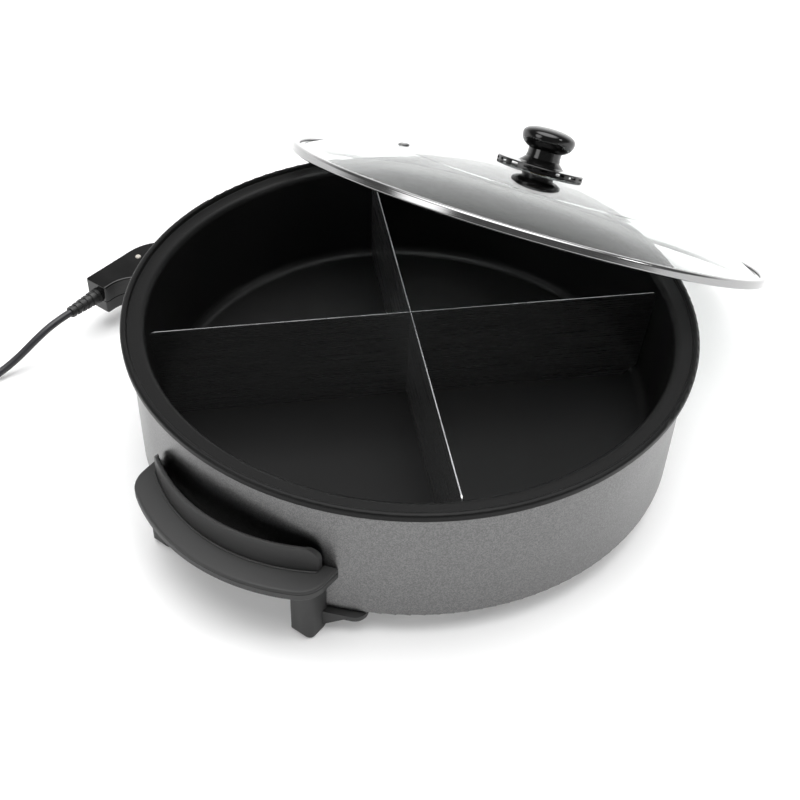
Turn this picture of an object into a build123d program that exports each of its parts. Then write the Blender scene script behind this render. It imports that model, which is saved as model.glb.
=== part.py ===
from build123d import *
import math
import os

# Round electric skillet: a double-walled pan on two handle units, four food
# compartments, a loose domed glass lid leaning on the pan, and a plug-in heat
# control with its cord.  Millimetres, +Z up.  The origin is on the worktop
# under the pan's centre, the handles are on -X and +X, the heat control on +Y.

# ---------------------------------------------------------------- pan sizes
LIP_R = 210.0            # outside of the pan's lip
RIM_Z = 125.0            # top of the lip above the worktop
LIP_H = 6.0              # height of the lip's outer band
LEDGE_R = LIP_R - 4.5    # step inside the lip, where the closed lid sits
LEDGE_DROP = 3.5         # how far the ledge lies below the lip's top
LIP_EDGE_R = 2.2         # rounding of the lip's top outer edge
LIP_INNER_R = 1.9        # rounding of the lip's top inner edge
LEDGE_CORNER_R = 5.0     # soft corner from the ledge down into the wall
WALL_TOP_R = LIP_R - 17.0            # inside of the pan's wall at the ledge
WALL_FLOOR_R = LIP_R - 23.0          # inside of the pan's wall at the floor
FLOOR_Z = 38.0           # cooking surface above the worktop
PAN_T = 3.0              # thickness of the pan's wall and floor
FLOOR_FILLET = 8.0       # corner between cooking surface and wall

# ------------------------------------------------------------ housing sizes
HOUSING_R = LIP_R - 5.5  # outside of the painted housing
HOUSING_T = 1.2          # sheet thickness of the housing
BASE_Z = 19.0            # underside of the housing above the worktop
BASE_CORNER_R = 3.0      # bend between the housing's wall and its base flange
BASE_FLANGE_W = 16.0     # width of the inward base flange
COVER_T = 1.0            # thickness of the base cover
VENT_COUNT = 12
VENT_L, VENT_W, VENT_RING_R = 26.0, 4.0, HOUSING_R - 54.5

# ------------------------------------------------------------- heater sizes
ELEMENT_D = 7.0          # heating element tube
ELEMENT_RING_R = HOUSING_R - 84.5
ELEMENT_GAP_DEG = 15.0   # half of the ring's open angle
SPREADER_R = ELEMENT_RING_R + 10.0
SPREADER_T = 1.2
PIN_X = 14.0             # terminal pins each side of the probe
PIN_Z = 30.0
PIN_D = 5.0
PIN_TIP_Y = HOUSING_R + 0.5
PIN_ROOT_Y = HOUSING_R - 38.5
PROBE_D = 5.0
PROBE_TIP_Y = HOUSING_R - 62.5
SLEEVE_START_Y = HOUSING_R - 67.5
SLEEVE_T = 1.6
RUN_CLEAR = 0.08         # radial running clearance of pins and probe

# ------------------------------------------------------------- socket sizes
SOCKET_HALF_W = 24.0     # half width of the socket's opening
SOCKET_H = 16.8          # height of the socket's opening
SOCKET_MID_Z = 32.0
SOCKET_T = 1.8           # wall of the socket's shroud
SOCKET_FRONT_Y = HOUSING_R + 1.9
SOCKET_BACK_Y = HOUSING_R - 12.0

# ------------------------------------------------------------- handle sizes
HANDLE_ARC_X = HOUSING_R - 110.0     # centre of the handle's arcs
HANDLE_OUT_R = 143.4     # outer edge of the handle
GUARD_R = 126.0          # outside of the upright heat guard
GUARD_T = 3.0
GUARD_TOP_Z = 82.5
GUARD_HALF_L = 73.0
GUARD_CORNER_R = 12.0    # rounding of the guard's upper corners
GUARD_LIP_R = 1.3        # rounding of the guard's upper edge
SHELF_TOP_Z = 61.5       # handle's top at the guard
SHELF_EDGE_Z = 59.6      # handle's top at the outer edge
SHELF_BOTTOM_Z = 51.4
SHELF_EDGE_R = 1.8
SHELF_FOOT_R = 1.4       # rounding of the shelf's lower edge
WEB_TOP_Z = 58.5         # floor between the guard and the housing
BEAD_R = 0.9             # small bead along the foot of the guard
GROOVE_Z, GROOVE_W, GROOVE_D = 57.2, 0.6, 0.4    # line round the shelf's side
HANDLE_HALF_L = 81.5
HANDLE_CORNER_R = 20.0   # plan rounding of the handle's outer corners
HANDLE_SCREW_Y, HANDLE_SCREW_Z = 52.0, 55.0
LEG_IN_Y, LEG_OUT_Y = 55.5, 74.0
LEG_X = HOUSING_R + 5.7  # outer face of a leg
LEG_TOE_X = LEG_X - 20.0             # inner end of the leg's flat bottom
LEG_RISE_X = LEG_X - 21.5            # where the leg's lower edge meets the base
LEG_CORNER_R = 6.5       # rounding of the leg's outer corners, seen from above
LEG_FOOT_R = 5.5         # rounding of the leg's lower edge
FOOT_H = 1.2             # rubber pad under each leg
PAD_SINK = 1.2           # how far a pad is let into its leg
PAD_INSET = 3.0
STRAP_Z0 = 40.0          # bottom of the strap that joins a pair of legs
STRAP_T = 3.2
STRAP_SCREW_Y = 36.0
EAR_X, EAR_Y, EAR_R = HOUSING_R - 26.0, 88.5, 9.5
EAR_T = 4.2
WEB_X, WEB_Y, WEB_R = LEG_X - 17.0, LEG_OUT_Y - 4.0, 3.5     # ear's web at the leg
WEB_LOW_Z = 4.0          # lower edge of the web at the leg
SCREW_D = 3.0            # screws of the handles, straps and ears
SCREW_EASE = 0.1         # extra radius of the holes they pass through
FIT = 0.2                # clearance between fixed mouldings and the housing

# ------------------------------------------------------------ divider sizes
DIVIDER_T = 0.8
DIVIDER_TOP_Z = RIM_Z - 8.0
DIVIDER_GAP = 2.2        # between a divider's end and the pan's wall
DIVIDER_ANGLE = 46.0
DIVIDER_CORNER_R = 4.0
REST_GAP = 0.1

# ---------------------------------------------------------------- lid sizes
LID_R = LIP_R - 6.0      # outside of the lid's steel band
LID_BAND_H = 7.0
LID_BAND_T = 1.0
BAND_FOOT_R = 1.6        # rounding of the band's lower outer edge
LID_BAND_IN_R = LID_R - 5.5          # inner edge of the band
GLASS_R = LID_R - 3.0
GLASS_T = 4.0
GLASS_EDGE_Z = 5.5       # top of the glass's flat edge above the band's bottom
GLASS_INSET = 3.5        # foot of the dome inside the band's inner edge
GLASS_RIM_W = 10.0       # width of the flat edge inside the band
LID_H = 38.0             # top of the glass above the band's bottom
CROWN_R = LID_R - 78.0   # where the shallow crown meets the shoulder
CROWN_DROP = 11.0        # fall of the crown from the apex to the shoulder
LID_TILT = 29.6          # lean of the lid
LID_LEAN_AZ = 7.4        # direction of the lean, from +X
LID_GAP = 0.5            # gap between the leaning lid and the pan's lip
LID_ASIDE = -9.1         # lid's centre across the lean
LID_CLEAR = 0.3          # gap between the lid's band and the worktop
VENT_R, VENT_AZ = CROWN_R - 8.0, 134.5
VENT_D = 9.4
STUD_D = 6.0             # screw through the lid's centre
FLANGE_R = 37.0
FLANGE_RIM_H = 3.0       # top of the flange's rim above the glass
FLANGE_TOP_T = 1.2       # thickness of the flange's plate
FLANGE_SKIRT_T = 2.4
FLANGE_FLARE_R = 19.5    # where the collar's foot meets the flange's plate
FLANGE_H = 10.0          # top of the flange's collar above the glass
COLLAR_R = 14.6
WINDOW_COUNT = 17
WINDOW_W, WINDOW_H, WINDOW_Z = 8.4, 1.9, -0.2    # openings in the skirt
CAP_R = 22.5
CAP_OVER_H, CAP_UNDER_H = 8.0, 13.0  # over and under the cap's widest place
CAP_FULLNESS = 2.3       # 2 is an ellipse, more is boxier
CAP_H = 34.0             # top of the knob above the glass
NECK_R = 14.2
INSERT_R, INSERT_L = 4.5, 12.0
WASHER_R, WASHER_T = 21.0, 0.8
SEAL_R, SEAL_T = 16.0, 0.5
CROWN_SAG = 0.2          # fall of the glass under the flat washer
SCREW_HEAD_R, SCREW_HEAD_H = 7.0, 0.8

# ------------------------------------------------------- heat control sizes
CTRL_HALF_W = SOCKET_HALF_W + 4.0    # half width of the head
CTRL_FACE_Y = SOCKET_FRONT_Y + 0.6   # face towards the pan
CTRL_BACK_Y = SOCKET_FRONT_Y + 87.0
CTRL_ARM_Y = SOCKET_FRONT_Y + 64.1   # inner side of the arm
CTRL_END_X = -61.0       # end of the arm, where the cord leaves
CTRL_TOP_Z, CTRL_BOTTOM_Z, CTRL_SEAM_Z = 46.2, 19.4, 31.0
CTRL_ELBOW_R = 38.0
CTRL_CROOK_R = 26.0
CTRL_CORNER_R = 1.6      # the head's front corners and the arm's end corners
CTRL_EDGE_R = 1.3        # top and bottom edges
CTRL_WALL = 2.2
CTRL_POST_R = 3.4
NOSE_HALF_W, NOSE_H = SOCKET_HALF_W - 0.4, SOCKET_H - 0.8
NOSE_TIP_Y = SOCKET_FRONT_Y - 10.4
NOSE_BACK_Y = SOCKET_FRONT_Y + 8.6
CONTACT_R = 4.0
SWITCH_TOP_Z = CTRL_TOP_Z - 7.0
DIAL_Y, DIAL_R, DIAL_H = SOCKET_FRONT_Y + 31.6, 19.0, 9.0
DIAL_FLUTES = 24
DIAL_PLAY = 0.4          # gap between the dial and the head
SHAFT_D = 6.0
SHAFT_GRIP = 3.0         # dial left above the shaft's end
LAMP_X, LAMP_Y, LAMP_D = -12.0, SOCKET_FRONT_Y + 74.6, 5.0

# --------------------------------------------------------------- cord sizes
CORD_D = 6.3
CORD_Y = SOCKET_FRONT_Y + 75.6
CORD_LOW_Z = CORD_D / 2 + 0.35        # middle of the cord where it lies lowest
EXIT = (-91.0, CORD_Y, 33.0)
RELIEF_ROOT_D, RELIEF_TIP_D = 13.0, 9.4
RELIEF_RIBS = 5
CORD_ROUTE = [
    EXIT,
    (-107.5, CORD_Y + 0.6, 32.6),
    (-125.5, CORD_Y + 4.0, 25.0),
    (-143.5, CORD_Y + 9.5, 12.8),
    (-162.0, CORD_Y + 14.8, CORD_LOW_Z + 1.1),
    (-184.0, CORD_Y + 18.0, CORD_LOW_Z),
    (-205.0, CORD_Y + 18.0, CORD_LOW_Z + 0.8),
    (-226.0, CORD_Y + 18.7, CORD_LOW_Z + 1.0),
]
COIL_X, COIL_Y = -227.0, CORD_Y + 60.0
COIL_MID_R = 35.0
COIL_TURNS_WIDE, COIL_LAYERS = 3, 2
TIE_T, TIE_W, TIE_AZ = 1.2, 9.0, 60.0
TAIL_ROUTE = [
    (-227.0, CORD_Y + 18.7, 10.8),
    (-244.5, CORD_Y + 17.8, 10.6),
    (-263.0, CORD_Y + 11.0, 9.4),
    (-278.0, CORD_Y - 1.0, 10.4),
    (-289.0, CORD_Y - 9.4, 12.5),
]

# --------------------------------------------------------- mains plug sizes
PLUG_FACE_R = 18.7
PLUG_FACE_L = 17.0
PLUG_L = 44.0            # length of the plug's body
PLUG_REAR_R = 7.4
PLUG_RELIEF_L = 16.0
PLUG_PIN_D, PLUG_PIN_L, PLUG_PIN_GAP = 4.8, 19.0, 19.0
PLUG_ROOT_D, PLUG_ROOT_L = 4.0, 9.0


# ------------------------------------------------------------------ helpers
def rounded(face, *corners):
    """Fillet a flat face's corners, each given as (point, radius)."""
    for point, radius in corners:
        corner = face.vertices().sort_by_distance(point)[0]
        face = fillet(corner, radius)
    return face


def outline_xz(points, rounds=()):
    """A closed face in the XZ plane, with some corners rounded."""
    corners = [(x, 0, z) for x, z in points]
    face = make_face(Polyline(*corners, close=True))
    return rounded(face, *[((x, 0, z), r) for x, z, r in rounds])


def turned(points, rounds=()):
    """A solid turned about Z from its (radius, z) outline."""
    return revolve(outline_xz(points, rounds), axis=Axis.Z)


def rod(radius, start, end):
    """A round bar from one point to another."""
    start, end = Vector(*start), Vector(*end)
    way = end - start
    plane = Plane(origin=start, z_dir=way)
    return extrude(plane * Circle(radius), way.length)


def tube(radius, bore, start, end):
    """A round tube from one point to another."""
    return rod(radius, start, end) - rod(bore, start, end)


def block(x, y, z):
    """A box from its lowest and highest x, y and z."""
    size = [b - a for a, b in (x, y, z)]
    middle = [(a + b) / 2 for a, b in (x, y, z)]
    return Pos(*middle) * Box(*size)


def group(pieces):
    """Separate solids kept together under one name."""
    solids = []
    for piece in pieces:
        solids.extend(piece.solids())
    return Compound(solids)


def screw(head_r, head_h, shank_r, shank_l):
    """A cross-recess screw, head upward, its head's underside at z = 0."""
    head = turned([(0, 0), (head_r, 0), (head_r, head_h), (0, head_h)],
                  [(head_r, head_h, head_h * 0.6)])
    recess_w, recess_l = head_r * 0.28, head_r * 1.1
    depth = head_h * 0.6
    slot = Pos(0, 0, head_h) * Box(recess_l, recess_w, 2 * depth)
    cross = slot + Rot(0, 0, 90) * slot
    shank = rod(shank_r, (0, 0, -shank_l), (0, 0, 0.01))
    return head - cross + shank


def wall_inner_r(z):
    """Inside radius of the pan's sloping wall at a height."""
    share = (z - FLOOR_Z) / (RIM_Z - LEDGE_DROP - FLOOR_Z)
    return WALL_FLOOR_R + share * (WALL_TOP_R - WALL_FLOOR_R)


# ---------------------------------------------------------------------- pan
LEDGE_Z = RIM_Z - LEDGE_DROP
LIP_Z = RIM_Z - LIP_H
UNDER_Z = FLOOR_Z - PAN_T
COVER_Z = BASE_Z + HOUSING_T


def inner_pan():
    """Cast pan with its non-stick inside, the lid's ledge and the lip."""
    return turned(
        [(0, FLOOR_Z), (WALL_FLOOR_R, FLOOR_Z), (WALL_TOP_R, LEDGE_Z),
         (LEDGE_R, LEDGE_Z), (LEDGE_R, RIM_Z), (LIP_R, RIM_Z),
         (LIP_R, LIP_Z), (WALL_TOP_R + PAN_T, LIP_Z),
         (WALL_FLOOR_R + PAN_T, UNDER_Z), (0, UNDER_Z)],
        [(WALL_FLOOR_R, FLOOR_Z, FLOOR_FILLET),
         (WALL_TOP_R, LEDGE_Z, LEDGE_CORNER_R),
         (LEDGE_R, LEDGE_Z, 1.0),
         (LEDGE_R, RIM_Z, LIP_INNER_R),
         (LIP_R, RIM_Z, LIP_EDGE_R),
         (LIP_R, LIP_Z, 1.0),
         (WALL_FLOOR_R + PAN_T, UNDER_Z, FLOOR_FILLET + PAN_T)])


def housing_envelope(extra, bottom=BASE_Z, top=RIM_Z):
    """The housing's outside as a solid, grown sideways and down by extra."""
    return turned(
        [(0, bottom - extra), (HOUSING_R + extra, bottom - extra),
         (HOUSING_R + extra, top), (0, top)],
        [(HOUSING_R + extra, bottom - extra, BASE_CORNER_R + extra)])


def socket_frame(half_w, height, y0, y1):
    """A rounded rectangular bar along Y about the socket's middle."""
    bar = block((-half_w, half_w), (y0, y1),
                (SOCKET_MID_Z - height / 2, SOCKET_MID_Z + height / 2))
    return fillet(bar.edges().filter_by(Axis.Y), 2.5)


def outer_housing():
    """Painted sheet housing: wall, bottom bend and inward base flange."""
    inner_r = HOUSING_R - HOUSING_T
    flange_r = HOUSING_R - BASE_FLANGE_W
    shell = turned(
        [(inner_r, LIP_Z), (HOUSING_R, LIP_Z), (HOUSING_R, BASE_Z),
         (flange_r, BASE_Z), (flange_r, COVER_Z), (inner_r, COVER_Z)],
        [(HOUSING_R, BASE_Z, BASE_CORNER_R),
         (inner_r, COVER_Z, BASE_CORNER_R - HOUSING_T)])
    hole = socket_frame(SOCKET_HALF_W + SOCKET_T, SOCKET_H + 2 * SOCKET_T,
                        SOCKET_BACK_Y, HOUSING_R + 5)
    shell -= hole
    for place in ear_places() + strap_screw_places() + handle_screw_places():
        shell -= place * rod(SCREW_D / 2, (0, 0, -8), (0, 0, 8))
    return shell


def base_cover():
    """Vented sheet that closes the housing from below."""
    cover = rod(HOUSING_R - BASE_CORNER_R - 3, (0, 0, COVER_Z),
                (0, 0, COVER_Z + COVER_T))
    slot = Pos(VENT_RING_R, 0, COVER_Z) * Box(VENT_L, VENT_W, 4 * COVER_T)
    slot = fillet(slot.edges().filter_by(Axis.Z), VENT_W * 0.45)
    for i in range(VENT_COUNT):
        cover -= Rot(0, 0, (i + 0.5) * 360 / VENT_COUNT) * slot
    for place in ear_places():
        cover -= place * rod(SCREW_D / 2, (0, 0, -8), (0, 0, 8))
    return cover


# ------------------------------------------------------------------- heater
def heating_element():
    """Open ring of tube with two leads to the terminal pins."""
    z = UNDER_Z - ELEMENT_D / 2 - REST_GAP
    gap = math.radians(ELEMENT_GAP_DEG)
    bend_r = ((ELEMENT_RING_R * math.sin(gap) - PIN_X) / (1 - math.sin(gap)))
    bend_y = (ELEMENT_RING_R + bend_r) * math.cos(gap)
    ring = CenterArc((0, 0, z), ELEMENT_RING_R, 90 + ELEMENT_GAP_DEG,
                     360 - 2 * ELEMENT_GAP_DEG)
    path = [ring]
    for side, end in ((-1, ring @ 0), (1, ring @ 1)):
        middle_x = side * (PIN_X + bend_r)
        bend = CenterArc((middle_x, bend_y, z), bend_r,
                         180 if side > 0 else 270 + ELEMENT_GAP_DEG,
                         90 - ELEMENT_GAP_DEG)
        lead = Line((side * PIN_X, bend_y, z), (side * PIN_X, PIN_ROOT_Y, z))
        path += [bend, lead]
    wire = Wire(path)
    start = Plane(origin=(-PIN_X, PIN_ROOT_Y, z), z_dir=(0, -1, 0))
    return sweep(start * Circle(ELEMENT_D / 2), path=wire)


def heat_spreader():
    """Aluminium disc that clamps the element to the pan."""
    top = UNDER_Z - ELEMENT_D - 2 * REST_GAP
    disc = rod(SPREADER_R, (0, 0, top - SPREADER_T), (0, 0, top))
    return disc - rod(4.2, (0, 0, top - 9), (0, 0, top + 1))


def spreader_stud():
    """Threaded stud and nut that hold the heat spreader to the pan."""
    plate_z = UNDER_Z - ELEMENT_D - 2 * REST_GAP - SPREADER_T
    nut = Pos(0, 0, plate_z) * extrude(RegularPolygon(6.5, 6), -4)
    return nut + rod(4, (0, 0, plate_z - 4), (0, 0, UNDER_Z))


def probe_sleeve():
    """Closed tube under the pan in which the probe slides."""
    bore = PROBE_D / 2 + RUN_CLEAR
    outside = rod(bore + SLEEVE_T, (0, SLEEVE_START_Y - 3, PIN_Z),
                  (0, SOCKET_BACK_Y - 2.5, PIN_Z))
    return outside - rod(bore, (0, SLEEVE_START_Y, PIN_Z),
                         (0, SOCKET_BACK_Y, PIN_Z))


def terminal_block():
    """Ceramic block that carries the pins and the sleeve."""
    y0, y1 = PIN_ROOT_Y + 2, SOCKET_BACK_Y - 2.5
    body = block((-25, 25), (y0, y1), (23.5, UNDER_Z - 0.3))
    body = fillet(body.edges().filter_by(Axis.Y), 2)
    for x in (-PIN_X, PIN_X):
        body -= rod(PIN_D / 2, (x, y0 - 1, PIN_Z), (x, y1 + 1, PIN_Z))
    bore = PROBE_D / 2 + RUN_CLEAR + SLEEVE_T
    return body - rod(bore, (0, y0 - 1, PIN_Z), (0, y1 + 1, PIN_Z))


def terminal_pins():
    """Two plated pins that the heat control pushes onto."""
    pins = []
    for x in (-PIN_X, PIN_X):
        pin = rod(PIN_D / 2, (x, PIN_ROOT_Y, PIN_Z), (x, PIN_TIP_Y, PIN_Z))
        tip = pin.edges().filter_by(GeomType.CIRCLE).sort_by(Axis.Y)[-1]
        pins.append(fillet(tip, 1.2))
    return group(pins)


# ------------------------------------------------------------------- socket
def socket_shroud():
    """Phenolic collar round the pins, with a flange on the housing."""
    outer_w = SOCKET_HALF_W + SOCKET_T
    outer_h = SOCKET_H + 2 * SOCKET_T
    collar = socket_frame(outer_w - FIT, outer_h - 2 * FIT, SOCKET_BACK_Y,
                          SOCKET_FRONT_Y)
    flange = socket_frame(outer_w + 7, outer_h + 1.6, HOUSING_R - 6,
                          SOCKET_FRONT_Y)
    flange -= housing_envelope(0.05)
    shroud = collar + flange
    shroud -= socket_frame(SOCKET_HALF_W, SOCKET_H, SOCKET_BACK_Y - 1,
                           SOCKET_FRONT_Y + 1)
    for x in (-1, 1):
        shroud -= socket_screw_place(x) * rod(1.3, (0, 0, -12), (0, 0, 6))
        shroud -= socket_screw_place(x) * rod(2.2, (0, 0, 0), (0, 0, 6))
    return shroud


def socket_screw_place(side):
    """Frame of a socket screw, its Z pointing out of the housing."""
    x = side * (SOCKET_HALF_W + SOCKET_T + 3.4)
    return Pos(x, SOCKET_FRONT_Y - 0.6, SOCKET_MID_Z) * Rot(-90, 0, 0)


def socket_screws():
    """Two small screws in the socket's flange."""
    one = screw(2.2, 0.6, 1.3, 1.2)
    return group([socket_screw_place(side) * one for side in (-1, 1)])


def earth_spring():
    """Bent contact strip on the roof of the socket."""
    roof = SOCKET_MID_Z + SOCKET_H / 2
    return block((-5, 5), (SOCKET_BACK_Y + 1, SOCKET_FRONT_Y - 1.5),
                 (roof - 0.35, roof))


# ------------------------------------------------------------------ handles
def ear_places():
    """Frames of the four ears' screws, Z up."""
    return [Pos(sx * EAR_X, sy * EAR_Y, COVER_Z)
            for sx in (-1, 1) for sy in (-1, 1)]


def wall_places(y, z):
    """Four frames on the housing's wall at a height, Z pointing outwards."""
    places = []
    for side in (-1, 1):
        for across in (-y, y):
            azimuth = math.degrees(math.asin(across / HOUSING_R))
            turn = azimuth if side > 0 else 180 - azimuth
            places.append(Rot(0, 0, turn) * Pos(HOUSING_R, 0, z)
                          * Rot(0, 90, 0))
    return places


def strap_screw_places():
    """Frames of the screws through the straps, on the housing's wall."""
    return wall_places(STRAP_SCREW_Y, (STRAP_Z0 + SHELF_BOTTOM_Z) / 2)


def handle_screw_places():
    """Frames of the screws from inside the housing into the handles."""
    return wall_places(HANDLE_SCREW_Y, HANDLE_SCREW_Z)


def shelf_plan(inset=0.0):
    """Plan of the grip shelf, running inwards under the housing's wall."""
    half_l = HANDLE_HALF_L - inset
    out_r = HANDLE_OUT_R - inset
    window = Pos(HANDLE_ARC_X + out_r, 0) * Rectangle(2 * out_r, 2 * half_l)
    plan = Pos(HANDLE_ARC_X, 0) * Circle(out_r) & window
    corner_x = HANDLE_ARC_X + math.sqrt(out_r ** 2 - half_l ** 2)
    corner_r = HANDLE_CORNER_R - inset
    return rounded(plan, ((corner_x, half_l, 0), corner_r),
                   ((corner_x, -half_l, 0), corner_r))


def shelf():
    """Grip shelf with its sloping top, rounded edges and side groove."""
    slope = (SHELF_TOP_Z - SHELF_EDGE_Z) / (HANDLE_OUT_R - GUARD_R)
    near_r, far_r = GUARD_R / 2, HANDLE_OUT_R + 20
    high_z = SHELF_TOP_Z + slope * (GUARD_R - near_r)
    low_z = SHELF_TOP_Z - slope * (far_r - GUARD_R)
    tall = SHELF_TOP_Z + 20
    body = extrude(Pos(0, 0, SHELF_BOTTOM_Z) * shelf_plan(),
                   tall - SHELF_BOTTOM_Z)
    body -= Pos(HANDLE_ARC_X, 0, 0) * turned(
        [(0, high_z), (near_r, high_z), (far_r, low_z), (far_r, tall + 1),
         (0, tall + 1)])
    rim = [e for e in body.edges() if e.center().Z > SHELF_EDGE_Z - 1
           and e.center().X > HANDLE_ARC_X + near_r]
    body = fillet(rim, SHELF_EDGE_R)
    foot = [e for e in body.edges() if e.center().Z < SHELF_BOTTOM_Z + 0.01
            and e.center().X > HANDLE_ARC_X + near_r]
    body = fillet(foot, SHELF_FOOT_R)
    line = Pos(0, 0, GROOVE_Z) * extrude(shelf_plan(-1.0), GROOVE_W)
    core = Pos(0, 0, GROOVE_Z - 1) * extrude(shelf_plan(GROOVE_D),
                                             GROOVE_W + 2)
    return body - (line - core)


def handle():
    """Grip shelf with its upright heat guard, for the +X side."""
    inner_r = GUARD_R - GUARD_T
    above_web = rod(inner_r, (0, 0, WEB_TOP_Z), (0, 0, GUARD_TOP_Z))
    guard = turned(
        [(inner_r, SHELF_BOTTOM_Z + 1), (GUARD_R, SHELF_BOTTOM_Z + 1),
         (GUARD_R, GUARD_TOP_Z), (inner_r, GUARD_TOP_Z)],
        [(GUARD_R, GUARD_TOP_Z, GUARD_LIP_R),
         (inner_r, GUARD_TOP_Z, GUARD_LIP_R)])
    bead = revolve(Plane.XZ * Pos(GUARD_R + BEAD_R, SHELF_TOP_Z)
                   * Circle(BEAD_R), axis=Axis.Z)
    trim = block((HANDLE_ARC_X, HANDLE_ARC_X + HANDLE_OUT_R),
                 (-GUARD_HALF_L, GUARD_HALF_L),
                 (SHELF_BOTTOM_Z, GUARD_TOP_Z + 1))
    trim = fillet(trim.edges().filter_by(Axis.X).group_by(Axis.Z)[-1],
                  GUARD_CORNER_R)
    body = shelf() - ((Pos(HANDLE_ARC_X, 0, 0) * above_web) & trim)
    body += (Pos(HANDLE_ARC_X, 0, 0) * (guard + bead)) & trim
    body -= housing_envelope(FIT)
    for place in handle_screw_places()[2:]:
        body -= place * rod(SCREW_D / 2, (0, 0, -6), (0, 0, 11))
    return body


def leg():
    """One leg, upright outside and sloping up to the base inside."""
    side_view = outline_xz(
        [(LEG_X, SHELF_BOTTOM_Z), (LEG_X, FOOT_H), (LEG_TOE_X, FOOT_H),
         (LEG_RISE_X, BASE_Z), (LEG_RISE_X, SHELF_BOTTOM_Z)],
        [(LEG_X, FOOT_H, LEG_FOOT_R), (LEG_TOE_X, FOOT_H, LEG_FOOT_R)])
    body = Pos(0, LEG_IN_Y, 0) * extrude(side_view, LEG_OUT_Y - LEG_IN_Y,
                                         dir=(0, 1, 0))
    middle_x, middle_y = (LEG_RISE_X + LEG_X) / 2, (LEG_IN_Y + LEG_OUT_Y) / 2
    plan = Pos(middle_x, middle_y) * Rectangle(LEG_X - LEG_RISE_X,
                                               LEG_OUT_Y - LEG_IN_Y)
    plan = rounded(plan, ((LEG_X, LEG_IN_Y, 0), LEG_CORNER_R),
                   ((LEG_X, LEG_OUT_Y, 0), LEG_CORNER_R))
    return body & extrude(plan, SHELF_BOTTOM_Z)


def ear():
    """Flat ear under the base, with a web that slopes down to the leg."""
    eye = Pos(EAR_X, EAR_Y) * Circle(EAR_R)
    root = Pos(WEB_X, WEB_Y) * Circle(WEB_R)
    plan = make_hull(eye.edges() + root.edges())
    top, flat_z = BASE_Z - FIT, BASE_Z - FIT - EAR_T
    body = extrude(plan, top)
    reach = math.hypot(WEB_X - EAR_X, WEB_Y - EAR_Y)
    below = make_face(Polyline(
        (-2 * EAR_R, 0, -1), (-2 * EAR_R, 0, flat_z),
        (EAR_R * 0.8, 0, flat_z), (reach, 0, WEB_LOW_Z),
        (reach + 20, 0, WEB_LOW_Z), (reach + 20, 0, -1), close=True))
    below = extrude(below, 3 * EAR_R, both=True, dir=(0, 1, 0))
    turn = math.degrees(math.atan2(WEB_Y - EAR_Y, WEB_X - EAR_X))
    return body - Pos(EAR_X, EAR_Y, 0) * Rot(0, 0, turn) * below


def leg_bracket():
    """Pair of legs with their strap and ears, for the +X side."""
    bosses = leg() + ear()
    bosses += mirror(bosses, about=Plane.XZ)
    strap = tube(HOUSING_R + FIT + STRAP_T, HOUSING_R, (0, 0, STRAP_Z0),
                 (0, 0, SHELF_BOTTOM_Z))
    strap &= block((HOUSING_R / 2, LEG_X + 20), (-LEG_IN_Y - 1, LEG_IN_Y + 1),
                   (STRAP_Z0, SHELF_BOTTOM_Z))
    body = bosses + strap - housing_envelope(FIT)
    hole_r = SCREW_D / 2 + SCREW_EASE
    for place in ear_places()[2:]:
        body -= place * rod(hole_r, (0, 0, -12), (0, 0, 6))
    for place in strap_screw_places()[2:]:
        body -= place * rod(hole_r, (0, 0, -2), (0, 0, 8))
    for side in (-1, 1):
        body -= foot_pad(side)
    return body


def foot_pad(side):
    """Rubber pad let into the bottom of one leg."""
    x0, x1 = LEG_TOE_X + LEG_FOOT_R / 2, LEG_X - LEG_FOOT_R - 1
    pad = block((x0, x1), (LEG_IN_Y + PAD_INSET, LEG_OUT_Y - PAD_INSET),
                (0, FOOT_H + PAD_SINK))
    pad = fillet(pad.edges().filter_by(Axis.Z), 1.6)
    return pad if side > 0 else mirror(pad, about=Plane.XZ)


def handle_screws():
    """Screws from inside the housing into both handles."""
    one = screw(3.2, 2.0, SCREW_D / 2, 10)
    inside = Pos(0, 0, -HOUSING_T - 0.05) * Rot(180, 0, 0)
    return group([place * inside * one for place in handle_screw_places()])


def bracket_screws():
    """Strap screws into the housing's wall and ear screws into its base."""
    strap = screw(3.2, 2.0, SCREW_D / 2, STRAP_T + 3)
    ear_screw = screw(3.2, 2.0, SCREW_D / 2, EAR_T + 3)
    pieces = [p * Pos(0, 0, FIT + STRAP_T) * strap
              for p in strap_screw_places()]
    ear_face = BASE_Z - FIT - EAR_T - COVER_Z
    pieces += [p * Pos(0, 0, ear_face) * Rot(180, 0, 0) * ear_screw
               for p in ear_places()]
    return group(pieces)


def feet():
    """Four rubber pads, two under each handle unit."""
    right = [foot_pad(side) for side in (-1, 1)]
    left = [mirror(p, about=Plane.YZ) for p in right]
    return group(right + left)


# ----------------------------------------------------------------- dividers
def divider_sheet():
    """One full-width divider in the XZ plane, before slotting."""
    bottom = FLOOR_Z + REST_GAP
    low_x = wall_inner_r(FLOOR_Z) - DIVIDER_GAP - 1.5
    step_x = wall_inner_r(FLOOR_Z + FLOOR_FILLET) - DIVIDER_GAP
    top_x = wall_inner_r(DIVIDER_TOP_Z) - DIVIDER_GAP
    foot_x = low_x - FLOOR_FILLET
    half = [(foot_x, bottom), (step_x, bottom + FLOOR_FILLET),
            (top_x, DIVIDER_TOP_Z)]
    points = half + [(-x, z) for x, z in reversed(half)]
    sheet = outline_xz(points, [(top_x, DIVIDER_TOP_Z, DIVIDER_CORNER_R),
                                (-top_x, DIVIDER_TOP_Z, DIVIDER_CORNER_R)])
    return extrude(sheet, DIVIDER_T / 2, both=True, dir=(0, 1, 0))


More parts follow.
